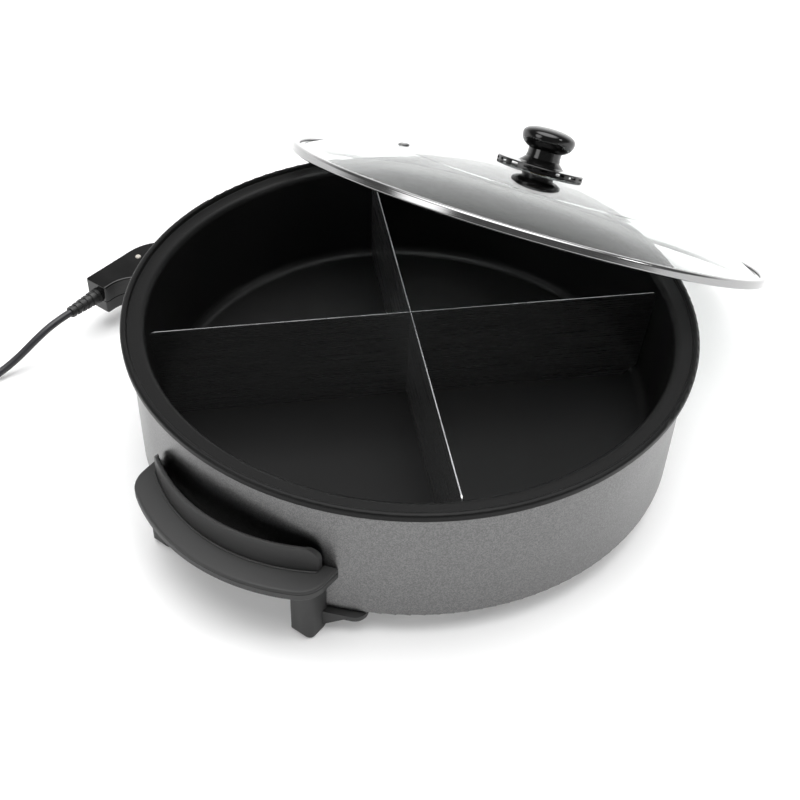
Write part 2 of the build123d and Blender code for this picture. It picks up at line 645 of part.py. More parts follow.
def divider(turn, slot_from_top):
    """A divider with a half-height slot where it crosses the other."""
    middle = (FLOOR_Z + DIVIDER_TOP_Z) / 2
    half_slot = DIVIDER_T / 2 + 0.1
    if slot_from_top:
        slot = (middle, DIVIDER_TOP_Z + 1)
    else:
        slot = (FLOOR_Z, middle)
    cut = block((-half_slot, half_slot), (-5, 5), slot)
    return Rot(0, 0, turn) * (divider_sheet() - cut)


# ---------------------------------------------------------------------- lid
def glass_under_z(radius):
    """Height of the glass's underside above the band's bottom at a radius."""
    sphere_r = crown_sphere_r()
    nx = CROWN_R / sphere_r
    nz = math.sqrt(1 - nx ** 2)
    join_x = CROWN_R - GLASS_T * nx
    join_z = LID_H - CROWN_DROP - GLASS_T * nz
    if radius < join_x:
        return LID_H - sphere_r + math.sqrt((sphere_r - GLASS_T) ** 2
                                            - radius ** 2)
    dx = LID_BAND_IN_R - GLASS_INSET - join_x
    dz = GLASS_EDGE_Z - GLASS_T - join_z
    bend_r = -(dx ** 2 + dz ** 2) / (2 * (dx * nx + dz * nz))
    middle_x, middle_z = join_x - bend_r * nx, join_z - bend_r * nz
    return middle_z + math.sqrt(max(bend_r ** 2 - (radius - middle_x) ** 2, 0))


def lid_height():
    """Height of the lid's centre with its low edge on the worktop."""
    tilt = math.radians(LID_TILT)
    return (LID_CLEAR + (LID_R - BAND_FOOT_R) * math.sin(tilt)
            + BAND_FOOT_R * (1 - math.cos(tilt)))


def lid_under_z(radius):
    """Height of the lid's underside, with the knob's washer and screw."""
    washer_z = LID_H - GLASS_T - CROWN_SAG - SEAL_T - WASHER_T
    if radius < SCREW_HEAD_R:
        return washer_z - SCREW_HEAD_H
    if radius < WASHER_R:
        return washer_z
    return glass_under_z(radius)


def lip_clearance(out):
    """Smallest gap under the lid along the lip, for a distance of the lid."""
    tilt = math.radians(LID_TILT)
    lip_r = LIP_R - LIP_EDGE_R * (1 - math.sin(tilt))
    up = RIM_Z - LIP_EDGE_R * (1 - math.cos(tilt)) - lid_height()
    nearest = LID_R
    for degree in range(-90, 91):
        angle = math.radians(degree)
        x = lip_r * math.cos(angle) - out
        across = lip_r * math.sin(angle) - LID_ASIDE
        along = x * math.cos(tilt) - up * math.sin(tilt)
        high = x * math.sin(tilt) + up * math.cos(tilt)
        radius = math.hypot(along, across)
        if radius < LID_BAND_IN_R - GLASS_INSET:
            nearest = min(nearest, lid_under_z(radius) - high)
        elif radius < LID_R:
            nearest = min(nearest, -high)
    return nearest


def lid_out():
    """Distance of the lid's centre at which it leans on the lip."""
    near, far = LIP_R / 2, LIP_R + LID_R / 2
    for _ in range(40):
        middle = (near + far) / 2
        if lip_clearance(middle) < LID_GAP:
            near = middle
        else:
            far = middle
    return far


def lid_place():
    """The lid's place as it leans: low edge on the worktop, crown on the lip."""
    lean = math.radians(LID_LEAN_AZ)
    out = lid_out()
    x = out * math.cos(lean) - LID_ASIDE * math.sin(lean)
    y = out * math.sin(lean) + LID_ASIDE * math.cos(lean)
    return (Pos(x, y, lid_height()) * Rot(0, 0, LID_LEAN_AZ)
            * Rot(0, LID_TILT, 0) * Rot(0, 0, -LID_LEAN_AZ))


def crown_sphere_r():
    """Radius of the crown's sphere."""
    return (CROWN_R ** 2 + CROWN_DROP ** 2) / (2 * CROWN_DROP)


def dome(offset):
    """The glass's upper outline moved inwards, as a solid down to z = 0."""
    sphere_r = crown_sphere_r()
    slope = math.asin(CROWN_R / sphere_r)
    crown_z = LID_H - CROWN_DROP
    nx, nz = math.sin(slope), math.cos(slope)
    apex = (0, 0, LID_H - offset)
    join = (CROWN_R - offset * nx, 0, crown_z - offset * nz)
    edge = (LID_BAND_IN_R - GLASS_INSET, 0, GLASS_EDGE_Z - offset)
    centre = Vector(0, 0, LID_H - sphere_r)
    middle_a = slope / 2
    crown_mid = centre + Vector(math.sin(middle_a), 0,
                                math.cos(middle_a)) * (sphere_r - offset)
    crown = ThreePointArc(apex, tuple(crown_mid), join)
    shoulder = TangentArc(join, edge, tangent=(nz, 0, -nx))
    floor = -20
    rest = Polyline(edge, (edge[0], 0, floor), (0, 0, floor), apex)
    return revolve(make_face([crown, shoulder, rest]), axis=Axis.Z)


def lid_glass():
    """Domed tempered glass with a flat edge, a vent hole and a centre hole."""
    edge_z = GLASS_EDGE_Z - GLASS_T
    rim = tube(GLASS_R, LID_BAND_IN_R - GLASS_RIM_W, (0, 0, edge_z),
               (0, 0, GLASS_EDGE_Z))
    keep = block((-300, 300), (-300, 300), (edge_z, LID_H + 1))
    glass = (dome(0.0) & keep) + rim - dome(GLASS_T)
    glass -= rod(STUD_D / 2 + 1, (0, 0, 0), (0, 0, LID_H + 5))
    return glass - vent_hole()


def vent_spot():
    """The vent's frame on the dome, Z along the dome's normal."""
    sphere_r = crown_sphere_r()
    slope = math.degrees(math.asin(VENT_R / sphere_r))
    z = LID_H - sphere_r + math.sqrt(sphere_r ** 2 - VENT_R ** 2)
    return Rot(0, 0, VENT_AZ) * Pos(VENT_R, 0, z) * Rot(0, slope, 0)


def vent_hole():
    """Cutter for the steam vent."""
    return vent_spot() * rod(VENT_D / 2 - 1, (0, 0, -9), (0, 0, 5))


def vent_grommet():
    """Rolled steel eyelet in the steam vent."""
    r_hole = VENT_D / 2 - 1
    eyelet = turned(
        [(r_hole - 0.8, -GLASS_T - 1.0), (r_hole + 1.0, -GLASS_T - 1.0),
         (r_hole + 1.0, -GLASS_T - 0.2), (r_hole, -GLASS_T - 0.2),
         (r_hole, 0.2), (r_hole + 1.0, 0.2), (r_hole + 1.0, 1.1),
         (r_hole - 0.8, 1.1)],
        [(r_hole + 1.0, 1.1, 0.5), (r_hole - 0.8, 1.1, 0.5)])
    return vent_spot() * eyelet


def lid_band():
    """Stainless channel rolled round the glass's edge."""
    wall_r = LID_R - LID_BAND_T
    return turned(
        [(LID_BAND_IN_R, 0), (LID_R, 0), (LID_R, LID_BAND_H),
         (LID_BAND_IN_R, LID_BAND_H), (LID_BAND_IN_R, LID_BAND_H - LID_BAND_T),
         (wall_r, LID_BAND_H - LID_BAND_T), (wall_r, LID_BAND_T),
         (LID_BAND_IN_R, LID_BAND_T)],
        [(LID_R, 0, BAND_FOOT_R), (LID_R, LID_BAND_H, 2.2),
         (LID_BAND_IN_R, LID_BAND_H, 0.5), (LID_BAND_IN_R, 0, 0.5)])


def lid_gasket():
    """Silicone packing between the glass's edge and the band."""
    packing = tube(LID_R - LID_BAND_T, LID_BAND_IN_R + 0.6,
                   (0, 0, LID_BAND_T), (0, 0, LID_BAND_H - LID_BAND_T))
    return packing - tube(GLASS_R, LID_BAND_IN_R - GLASS_RIM_W,
                          (0, 0, GLASS_EDGE_Z - GLASS_T),
                          (0, 0, GLASS_EDGE_Z))


def knob_flange():
    """Hollow heat shield under the knob, with windows round its skirt."""
    rim_z, collar_z = LID_H + FLANGE_RIM_H, LID_H + FLANGE_H
    body = turned(
        [(STUD_D / 2, LID_H - 3), (FLANGE_R, LID_H - 3), (FLANGE_R, rim_z),
         (FLANGE_FLARE_R, rim_z + 0.5), (COLLAR_R, collar_z - 2),
         (COLLAR_R, collar_z), (STUD_D / 2, collar_z)],
        [(FLANGE_R, rim_z, 0.9), (FLANGE_FLARE_R, rim_z + 0.5, 3.0)])
    hollow_z = rim_z - FLANGE_TOP_T
    body -= tube(FLANGE_R - FLANGE_SKIRT_T, COLLAR_R, (0, 0, LID_H - 4),
                 (0, 0, hollow_z))
    window = Pos(FLANGE_R, 0, LID_H + WINDOW_Z + WINDOW_H / 2) * Box(
        3 * FLANGE_SKIRT_T, WINDOW_W, WINDOW_H)
    for i in range(WINDOW_COUNT):
        body -= Rot(0, 0, i * 360 / WINDOW_COUNT) * window
    return body - dome(-0.02)


def knob_cap():
    """Oval grip on a round neck, with a bore for its insert."""
    base = LID_H + FLANGE_H
    middle_z = LID_H + CAP_H - CAP_OVER_H
    steps = 24
    oval = []
    for i in range(steps + 1):
        angle = math.radians(-90 + 180 * i / steps)
        across, up = math.cos(angle), math.sin(angle)
        share = (abs(across) ** CAP_FULLNESS
                 + abs(up) ** CAP_FULLNESS) ** (-1 / CAP_FULLNESS)
        half_h = CAP_OVER_H if up > 0 else CAP_UNDER_H
        oval.append((CAP_R * share * across, 0,
                     middle_z + half_h * share * up))
    oval[0], oval[-1] = (0, 0, oval[0][2]), (0, 0, oval[-1][2])
    side = Spline(*oval, tangents=[(1, 0, 0), (-1, 0, 0)])
    grip = revolve(make_face([side, Line(oval[-1], oval[0])]), axis=Axis.Z)
    cap = grip + rod(NECK_R, (0, 0, base), (0, 0, middle_z))
    return cap - rod(INSERT_R, (0, 0, base - 1), (0, 0, base + INSERT_L))


def knob_insert():
    """Brass insert in the knob that takes the screw."""
    base = LID_H + FLANGE_H
    return tube(INSERT_R, STUD_D / 2, (0, 0, base), (0, 0, base + INSERT_L))


def knob_seal():
    """Silicone washer between the glass and the flat washer."""
    under = LID_H - GLASS_T - CROWN_SAG
    ring = tube(SEAL_R, STUD_D / 2, (0, 0, under - SEAL_T),
                (0, 0, LID_H - GLASS_T))
    return ring & dome(GLASS_T)


def knob_washer():
    """Flat plastic washer under the glass."""
    top = LID_H - GLASS_T - CROWN_SAG - SEAL_T
    return tube(WASHER_R, STUD_D / 2, (0, 0, top - WASHER_T), (0, 0, top))


def knob_screw():
    """Screw from below that holds the knob."""
    top = LID_H - GLASS_T - CROWN_SAG - SEAL_T - WASHER_T
    length = LID_H + FLANGE_H + INSERT_L - 2 - top
    one = screw(SCREW_HEAD_R, SCREW_HEAD_H, STUD_D / 2, length)
    return Pos(0, 0, top) * Rot(180, 0, 0) * one


# ------------------------------------------------------------- heat control
def control_plan(inset, crook_r, elbow_r):
    """L-shaped outline of the heat control, moved inwards."""
    w = CTRL_HALF_W - inset
    face = CTRL_FACE_Y + inset
    back = CTRL_BACK_Y - inset
    arm = CTRL_ARM_Y + inset
    end = CTRL_END_X + inset
    face_outline = make_face(Polyline(
        (-w, face), (w, face), (w, back), (end, back), (end, arm),
        (-w, arm), close=True))
    corner_r = max(CTRL_CORNER_R - inset, 0.5)
    return rounded(face_outline, ((w, back, 0), elbow_r),
                   ((-w, arm, 0), crook_r), ((w, face, 0), corner_r),
                   ((-w, face, 0), corner_r), ((end, back, 0), corner_r),
                   ((end, arm, 0), corner_r))


def control_body(inset):
    """The heat control's outside, or its hollow when inset."""
    plan = control_plan(inset, CTRL_CROOK_R + inset, CTRL_ELBOW_R - inset)
    z0, z1 = CTRL_BOTTOM_Z + inset, CTRL_TOP_Z - inset
    body = extrude(Pos(0, 0, z0) * plan, z1 - z0)
    edge_r = max(CTRL_EDGE_R - inset, 0.4)
    body = fillet(body.edges().group_by(Axis.Z)[-1], edge_r)
    return fillet(body.edges().group_by(Axis.Z)[0], edge_r)


def control_shells():
    """Upper and lower shells of the heat control."""
    skin = control_body(0.0) - control_body(CTRL_WALL)
    nose_hole = block((-NOSE_HALF_W, NOSE_HALF_W),
                      (CTRL_FACE_Y - 1, CTRL_FACE_Y + CTRL_WALL + 1),
                      (SOCKET_MID_Z - NOSE_H / 2, SOCKET_MID_Z + NOSE_H / 2))
    skin -= nose_hole
    relief_hole = rod(RELIEF_ROOT_D / 2 - 2, (CTRL_END_X - 1, EXIT[1], EXIT[2]),
                      (CTRL_END_X + 4, EXIT[1], EXIT[2]))
    skin -= relief_hole
    x_span = (CTRL_END_X - 5, CTRL_HALF_W + 5)
    y_span = (CTRL_FACE_Y - 5, CTRL_BACK_Y + 5)
    lower_zone = block(x_span, y_span, (0, CTRL_SEAM_Z))
    seam = block(x_span, y_span, (CTRL_SEAM_Z - 0.35, CTRL_SEAM_Z + 0.35))
    skin -= (control_body(-1) - control_body(0.5)) & seam
    shaft_hole = rod(SHAFT_D / 2 + RUN_CLEAR, (0, DIAL_Y, CTRL_SEAM_Z),
                     (0, DIAL_Y, CTRL_TOP_Z + 2))
    lamp_hole = rod(LAMP_D / 2, (LAMP_X, LAMP_Y, CTRL_SEAM_Z),
                    (LAMP_X, LAMP_Y, CTRL_TOP_Z + 2))
    upper = skin - lower_zone - shaft_hole - lamp_hole
    lower = skin & lower_zone
    for place in control_screw_places():
        post = place * rod(CTRL_POST_R, (0, 0, 0.5), (0, 0, CTRL_SEAM_Z
                                                      - CTRL_BOTTOM_Z))
        lower += post
        lower -= place * rod(1.5, (0, 0, -1), (0, 0, 20))
        lower -= place * rod(3.1, (0, 0, -1), (0, 0, 2.2))
    return upper, lower


def control_screw_places():
    """Frames of the shell screws on the underside, Z up."""
    front_y, back_y = CTRL_FACE_Y + 15, CTRL_FACE_Y + 55
    side_x = CTRL_HALF_W - 10
    spots = [(-side_x, front_y), (side_x, front_y), (side_x - 2, back_y),
             (CTRL_END_X + 14, (CTRL_ARM_Y + CTRL_BACK_Y) / 2)]
    return [Pos(x, y, CTRL_BOTTOM_Z) for x, y in spots]


def control_screws():
    """Four screws that close the two shells."""
    one = screw(2.9, 1.9, 1.5, CTRL_SEAM_Z - CTRL_BOTTOM_Z - 3)
    return group([p * Pos(0, 0, 2.2) * Rot(180, 0, 0) * one
                  for p in control_screw_places()])


def contact_carrier():
    """Phenolic nose that enters the socket, bored for pins and probe."""
    z0, z1 = SOCKET_MID_Z - NOSE_H / 2, SOCKET_MID_Z + NOSE_H / 2
    nose = block((-NOSE_HALF_W, NOSE_HALF_W), (NOSE_TIP_Y, NOSE_BACK_Y),
                 (z0, z1))
    nose = fillet(nose.edges().filter_by(Axis.Y), 2.0)
    inner = CTRL_FACE_Y + CTRL_WALL
    trim = block((-50, 50), (inner, NOSE_BACK_Y + 1), (z0 - 1, z1 + 1))
    nose -= trim
    nose += block((-NOSE_HALF_W + 3, NOSE_HALF_W - 3), (inner, NOSE_BACK_Y),
                  (z0 + 0.5, z1 - 0.5))
    for x in (-PIN_X, PIN_X):
        nose -= rod(CONTACT_R, (x, NOSE_TIP_Y - 1, PIN_Z),
                    (x, NOSE_BACK_Y + 1, PIN_Z))
    nose -= rod(PROBE_D / 2, (0, NOSE_TIP_Y - 1, PIN_Z), (0, NOSE_BACK_Y + 1,
                                                          PIN_Z))
    spring_room = block((-6, 6), (NOSE_TIP_Y - 1, NOSE_TIP_Y + 9),
                        (z1 - 0.1, z1 + 1))
    return nose - spring_room


def contact_sleeves():
    """Two sprung sleeves that grip the terminal pins."""
    return group([tube(CONTACT_R, PIN_D / 2 + RUN_CLEAR,
                       (x, NOSE_TIP_Y + 0.5, PIN_Z), (x, NOSE_BACK_Y, PIN_Z))
                  for x in (-PIN_X, PIN_X)])


def probe_rod():
    """Temperature probe that reaches under the pan."""
    probe = rod(PROBE_D / 2, (0, PROBE_TIP_Y, PIN_Z), (0, NOSE_BACK_Y + 4,
                                                       PIN_Z))
    tip = probe.edges().filter_by(GeomType.CIRCLE).sort_by(Axis.Y)[0]
    return fillet(tip, 2.0)


def thermostat_switch():
    """Snap switch that the probe and the dial's shaft work on."""
    body = block((-11, 11), (NOSE_BACK_Y + 4, DIAL_Y + 10),
                 (CTRL_BOTTOM_Z + CTRL_WALL + 1, SWITCH_TOP_Z))
    body = fillet(body.edges().filter_by(Axis.Z), 2)
    return body


def dial_shaft():
    """Shaft from the switch up to the dial."""
    return rod(SHAFT_D / 2, (0, DIAL_Y, SWITCH_TOP_Z),
               (0, DIAL_Y, CTRL_TOP_Z + DIAL_H - SHAFT_GRIP))


def control_dial():
    """Fluted dial with a raised pointer."""
    z0 = CTRL_TOP_Z + DIAL_PLAY
    z1 = CTRL_TOP_Z + DIAL_H
    skirt_z = z0 + 2.2
    dial = turned(
        [(0, z0), (DIAL_R, z0), (DIAL_R, skirt_z), (DIAL_R - 3.5, skirt_z),
         (DIAL_R - 4.5, z1), (0, z1)],
        [(DIAL_R - 4.5, z1, 1.2), (DIAL_R, skirt_z, 0.6)])
    flute = rod(1.3, (DIAL_R - 3.0, 0, skirt_z + 0.01), (DIAL_R - 3.0, 0,
                                                         z1 + 1))
    for i in range(DIAL_FLUTES):
        dial -= Rot(0, 0, (i + 0.5) * 360 / DIAL_FLUTES) * flute
    pointer = block((-0.9, 0.9), (3, DIAL_R - 6.5), (z1 - 0.5, z1 + 0.6))
    dial += pointer
    dial -= rod(SHAFT_D / 2, (0, 0, z0 - 1), (0, 0, z1 - SHAFT_GRIP))
    return Pos(0, DIAL_Y, 0) * dial


def indicator_lens():
    """Small domed lamp lens on the head's top."""
    lens = rod(LAMP_D / 2, (LAMP_X, LAMP_Y, CTRL_TOP_Z - 5),
               (LAMP_X, LAMP_Y, CTRL_TOP_Z + 1.2))
    top = lens.edges().filter_by(GeomType.CIRCLE).sort_by(Axis.Z)[-1]
    return fillet(top, 1.1)


# --------------------------------------------------------------------- cord
def ribbed_relief(length, root_d, tip_d, bore_d):
    """Tapered strain relief along +Z with spaced ribs."""
    points = [(bore_d / 2, 0), (root_d / 2, 0)]
    pitch = length / (RELIEF_RIBS + 0.5)
    for i in range(RELIEF_RIBS):
        z = pitch * (i + 0.5)
        share = z / length
        r = (root_d + (tip_d - root_d) * share) / 2
        points += [(r, z), (r - 1.0, z + 0.1), (r - 1.0, z + pitch * 0.4),
                   (r - 0.1, z + pitch * 0.5)]
    points += [(tip_d / 2, length), (bore_d / 2, length)]
    return turned(points)


def strain_relief():
    """Flexible relief where the cord leaves the heat control."""
    length = CTRL_END_X - EXIT[0]
    along = Plane(origin=(CTRL_END_X, EXIT[1], EXIT[2]), x_dir=(0, 1, 0),
                  z_dir=(-1, 0, 0))
    relief = along * ribbed_relief(length, RELIEF_ROOT_D, RELIEF_TIP_D, 0.0)
    neck = rod(RELIEF_ROOT_D / 2 - 2, (CTRL_END_X, EXIT[1], EXIT[2]),
               (CTRL_END_X + 3.5, EXIT[1], EXIT[2]))
    return relief + neck


def bend_radii(route):
    """Radius of each bend: as large as the shorter of its two runs allows."""
    radii = []
    for a, b, c in zip(route, route[1:], route[2:]):
        before = Vector(*b) - Vector(*a)
        after = Vector(*c) - Vector(*b)
        half_turn = math.radians(before.get_angle(after)) / 2
        shorter = min(before.length, after.length)
        radii.append(0.45 * shorter / math.tan(half_turn))
    return radii


def cord_tube(name, route):
    """Cord of round section along straight runs joined by tangent arcs."""
    radii = bend_radii(route)
    path = FilletPolyline(*route, radius=radii)
    first = Vector(*route[1]) - Vector(*route[0])
    section = Plane(origin=route[0], z_dir=first) * Circle(CORD_D / 2)
    solid = sweep(section, path=path)
    ideal = math.pi * CORD_D ** 2 / 4 * path.length
    print(name, "length", round(path.length, 1), "radii",
          [round(r, 1) for r in radii], "volume ratio",
          round(solid.volume / ideal, 4))
    return solid


COIL_BOTTOM = TIE_T + 0.05
COIL_IN_R = COIL_MID_R - COIL_TURNS_WIDE * CORD_D / 2
COIL_OUT_R = COIL_MID_R + COIL_TURNS_WIDE * CORD_D / 2
COIL_TOP = COIL_BOTTOM + COIL_LAYERS * CORD_D


def cord_coil():
    """Outer shape of the coiled cord."""
    ring = turned(
        [(COIL_IN_R, COIL_BOTTOM), (COIL_OUT_R, COIL_BOTTOM),
         (COIL_OUT_R, COIL_TOP), (COIL_IN_R, COIL_TOP)],
        [(COIL_IN_R, COIL_BOTTOM, CORD_D * 0.45),
         (COIL_OUT_R, COIL_BOTTOM, CORD_D * 0.45),
         (COIL_OUT_R, COIL_TOP, CORD_D * 0.45),
         (COIL_IN_R, COIL_TOP, CORD_D * 0.45)])
    return Pos(COIL_X, COIL_Y, 0) * ring


def coil_tie():
    """Strap round the coil."""
    middle_z = (COIL_BOTTOM + COIL_TOP) / 2
    wide = COIL_OUT_R - COIL_IN_R
    tall = COIL_TOP - COIL_BOTTOM
    loop = Box(wide + 2 * TIE_T, TIE_W, tall + 2 * TIE_T)
    loop = fillet(loop.edges().filter_by(Axis.Y), 3.0)
    hole = Box(wide + 0.1, TIE_W + 2, tall + 0.1)
    hole = fillet(hole.edges().filter_by(Axis.Y), 2.0)
    swing = Rot(0, 0, TIE_AZ) * Pos(COIL_MID_R, 0, middle_z)
    strap = Pos(COIL_X, COIL_Y, 0) * swing * (loop - hole)
    return strap - cord_coil()


def plug_place():
    """The mains plug's frame: origin at its rear, Z towards its pins."""
    way = Vector(*TAIL_ROUTE[-1]) - Vector(*TAIL_ROUTE[-2])
    return Plane(origin=TAIL_ROUTE[-1], z_dir=way)


def mains_plug():
    """Moulded earthed plug with a round face and a tapered grip."""
    total = PLUG_RELIEF_L + PLUG_L
    face = total - PLUG_FACE_L
    body = turned(
        [(0, PLUG_RELIEF_L), (PLUG_REAR_R, PLUG_RELIEF_L),
         (PLUG_REAR_R + 2.5, face - 6), (PLUG_FACE_R - 1.5, face),
         (PLUG_FACE_R, face + 2), (PLUG_FACE_R, total), (0, total)],
        [(PLUG_REAR_R, PLUG_RELIEF_L, 1.5), (PLUG_FACE_R, total, 1.5),
         (PLUG_REAR_R + 2.5, face - 6, 8), (PLUG_FACE_R, face + 2, 1.0)])
    flat = Box(60, 4, 40)
    for side in (-1, 1):
        body -= Pos(0, side * (PLUG_FACE_R + 0.9), total - 5) * flat
        body -= Pos(side * (PLUG_FACE_R - 1.2), 0, total - 4) * Box(5, 7, 12)
        pin_x = PLUG_PIN_GAP / 2
        body -= rod(PLUG_ROOT_D / 2, (side * pin_x, 0, total - PLUG_ROOT_L),
                    (side * pin_x, 0, total + 1))
    return plug_place() * body


def plug_pins():
    """Two round pins."""
    total = PLUG_RELIEF_L + PLUG_L
    pins = []
    for side in (-1, 1):
        x = side * PLUG_PIN_GAP / 2
        pin = rod(PLUG_PIN_D / 2, (x, 0, total), (x, 0, total + PLUG_PIN_L))
        pin += rod(PLUG_ROOT_D / 2, (x, 0, total - PLUG_ROOT_L), (x, 0, total))
        tip = pin.edges().filter_by(GeomType.CIRCLE).sort_by(Axis.Z)[-1]
        pins.append(plug_place() * fillet(tip, 1.8))
    return group(pins)


def plug_relief():
    """Flexible relief between the cord and the mains plug."""
    relief = ribbed_relief(PLUG_RELIEF_L, RELIEF_TIP_D, RELIEF_ROOT_D, 0.0)
    return plug_place() * relief


# ----------------------------------------------------------------- assembly
def assembly():
    """Every piece by name, each where it lies at rest."""
    nodes = {
        "inner_pan": inner_pan(),
        "outer_housing": outer_housing(),
        "base_cover": base_cover(),
        "heating_element": heating_element(),
        "heat_spreader": heat_spreader(),
        "spreader_stud": spreader_stud(),
        "probe_sleeve": probe_sleeve(),
        "terminal_block": terminal_block(),
        "terminal_pins": terminal_pins(),
        "socket_shroud": socket_shroud(),
        "socket_screws": socket_screws(),
        "earth_spring": earth_spring(),
        "handle_screws": handle_screws(),
        "bracket_screws": bracket_screws(),
        "feet": feet(),
        "divider_long": divider(DIVIDER_ANGLE, slot_from_top=False),
        "divider_cross": divider(DIVIDER_ANGLE + 90, slot_from_top=True),
    }
    right = {"handle": handle(), "leg_bracket": leg_bracket()}
    for name, piece in right.items():
        nodes[name + "_right"] = piece
        nodes[name + "_left"] = mirror(piece, about=Plane.YZ)
    leaning = lid_place()
    lid = {
        "lid_glass": lid_glass(),
        "lid_band": lid_band(),
        "lid_gasket": lid_gasket(),
        "vent_grommet": vent_grommet(),
        "knob_flange": knob_flange(),
        "knob_cap": knob_cap(),
        "knob_insert": knob_insert(),
        "knob_seal": knob_seal(),
        "knob_washer": knob_washer(),
        "knob_screw": knob_screw(),
    }
    for name, piece in lid.items():
        nodes[name] = leaning * piece
    upper, lower = control_shells()
    nodes.update({
        "control_upper_shell": upper,
        "control_lower_shell": lower,
        "control_screws": control_screws(),
        "contact_carrier": contact_carrier(),
        "contact_sleeves": contact_sleeves(),
        "probe_rod": probe_rod(),
        "thermostat_switch": thermostat_switch(),
        "dial_shaft": dial_shaft(),
        "control_dial": control_dial(),
        "indicator_lens": indicator_lens(),
        "strain_relief": strain_relief(),
        "power_cord": cord_tube("power_cord", CORD_ROUTE),
        "cord_coil": cord_coil(),
        "cord_tail": cord_tube("cord_tail", TAIL_ROUTE),
        "coil_tie": coil_tie(),
        "mains_plug": mains_plug(),
        "plug_pins": plug_pins(),
        "plug_relief": plug_relief(),
    })
    return nodes


os.makedirs("parts", exist_ok=True)
for node_name, node_shape in assembly().items():
    export_step(node_shape, "parts/" + node_name + ".step")
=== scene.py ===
import math

import bpy
from mathutils import Matrix, Vector


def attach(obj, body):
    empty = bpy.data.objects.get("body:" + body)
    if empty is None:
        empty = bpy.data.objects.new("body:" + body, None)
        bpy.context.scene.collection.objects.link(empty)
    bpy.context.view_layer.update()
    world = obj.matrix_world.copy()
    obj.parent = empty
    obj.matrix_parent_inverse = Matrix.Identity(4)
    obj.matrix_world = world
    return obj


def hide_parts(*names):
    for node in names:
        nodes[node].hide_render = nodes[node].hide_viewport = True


# Electric skillet: finishes, the smooth mains cord, dial marks, floor, light
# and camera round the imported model.  Metres.  The origin is on the worktop
# under the pan's centre, the handles are on -X and +X, the heat control on +Y.

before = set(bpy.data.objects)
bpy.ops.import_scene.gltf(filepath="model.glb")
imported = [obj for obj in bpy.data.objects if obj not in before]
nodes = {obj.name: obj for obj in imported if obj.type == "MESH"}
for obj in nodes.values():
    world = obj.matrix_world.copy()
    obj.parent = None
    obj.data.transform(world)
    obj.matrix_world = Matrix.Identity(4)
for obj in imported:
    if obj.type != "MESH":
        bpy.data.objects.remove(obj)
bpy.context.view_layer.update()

# ------------------------------------------------------------------- camera
CAMERA_PLACE = (-0.5862, -0.4029, 0.6764)
CAMERA_AIM = (-0.0311, -0.0155, 0.0600)
CAMERA_ROLL_DEG = 2.40
CAMERA_LENS_MM = 55.07
CAMERA_SENSOR_MM = 36.0

# --------------------------------------------------------------------- cord
CORD_D = 0.0063
CORD_EXIT = (-0.0910, 0.2820, 0.0330)    # where it leaves the strain relief
# Control points of the two free stretches: to the coil, and on to the plug.
CORD_LEAD = [
    CORD_EXIT,
    (-0.1075, 0.2826, 0.0326),
    (-0.1255, 0.2860, 0.0250),
    (-0.1435, 0.2915, 0.0128),
    (-0.1620, 0.2968, 0.0046),
    (-0.1840, 0.3000, 0.0035),
    (-0.2050, 0.3000, 0.0043),
    (-0.2260, 0.3007, 0.0045),
]
CORD_TAIL = [
    (-0.2270, 0.3007, 0.0108),
    (-0.2445, 0.2998, 0.0106),
    (-0.2630, 0.2930, 0.0094),
    (-0.2780, 0.2810, 0.0104),
    (-0.2890, 0.2726, 0.0125),
]
COIL_CENTRE = (-0.2270, 0.3420)
COIL_OUTER_R = 0.0413        # middle of the outermost turn
COIL_LOW_Z = 0.0044          # middle of the lower layer
COIL_TURNS = 5
COIL_POINTS = 16             # control points in each turn
COIL_START_DEG = -90.0       # where the cord meets the coil
# In turns from there: where the coil steps in, rises a layer and steps out.
COIL_STEPS_IN = ((0.8, 1.0), (1.8, 2.0))
COIL_RISE = (2.6, 2.8)
COIL_STEPS_OUT = ((3.4, 3.6), (4.4, 4.6))
CORD_SPLINE_STEPS = 8        # along the cord, for each control point
CORD_ROUND_STEPS = 6         # 4 + 2 * 6 sides round the cord

# -------------------------------------------------------------- heat control
DIAL_CENTRE = (0.0, 0.238)
DIAL_SKIRT_Z = 0.0488        # top of the dial's skirt
DIAL_MARK_R = 0.0173         # middle of the ring of marks
DIAL_NUMBERS = "012345"
DIAL_SPREAD_DEG = 270.0      # from the first number to the last
MARK_H = 0.0027              # type size of the numbers
MARK_T = 0.00012             # how far they stand up

# ---------------------------------------------------------- floor and light
FLOOR_SIZE = 40.0
FLOOR_GLOW = 0.20            # the floor's own light
WORLD_DIM = 0.16             # light from where no glow reaches
# Each glow: its direction, then the cosine to that direction where it starts,
# the cosine where it is full, and its light.
GLOWS = (
    ((0.45, 0.31, -0.84), (-0.15, 0.35, 1.0)),    # low, beyond the pan
    ((0.10, 0.05, 1.0), (0.76, 0.94, 4.4)),       # overhead
    ((0.0, 0.0, -1.0), (-0.20, 0.0, 0.50)),       # all round the horizon
    ((-1.9, 0.9, 1.1), (0.95, 0.99, 3.2)),        # beyond the left handle
)
SOFTBOX_PLACE = (0.6, -1.4, 1.3)
SOFTBOX_AIM = (0, 0, 0.1)
SOFTBOX_SIZE = 0.35
SOFTBOX_WATTS = 4.0

# ---------------------------------------------------------------- refraction
GLASS_IOR = 1.5
LENS_IOR = 1.49


